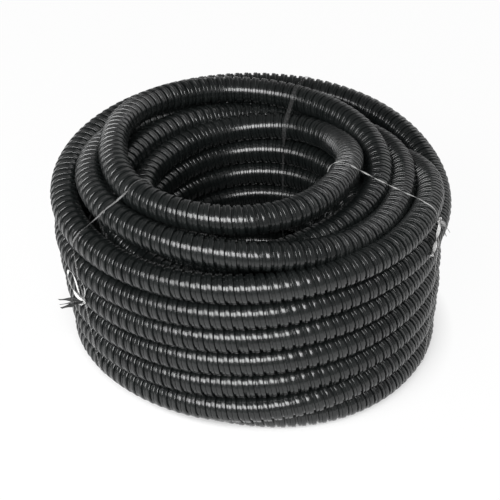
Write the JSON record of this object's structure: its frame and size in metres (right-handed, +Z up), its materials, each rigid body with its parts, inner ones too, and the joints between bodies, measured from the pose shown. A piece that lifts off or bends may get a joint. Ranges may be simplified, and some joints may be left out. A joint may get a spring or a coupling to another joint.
{
  "type": "corrugated conduit coil",
  "caption": "Coil of black corrugated flexible conduit, wound in layers round an open eye and held by three thin plastic ties.",
  "frame": {"origin": "on the coil's axis, level with the underside of the ties that it rests on", "axes": "+Z up along the coil's axis; -Y is the side the picture is taken from, +X its right"},
  "size_m": [0.3416, 0.3416, 0.2026],
  "materials": {
    "conduit": "satin",
    "tie": "satin"
  },
  "bodies": {
    "root": {"conduit_coil": "conduit", "tie_left": "tie", "tie_right": "tie", "tie_back": "tie"}
  },
  "joints": []
}
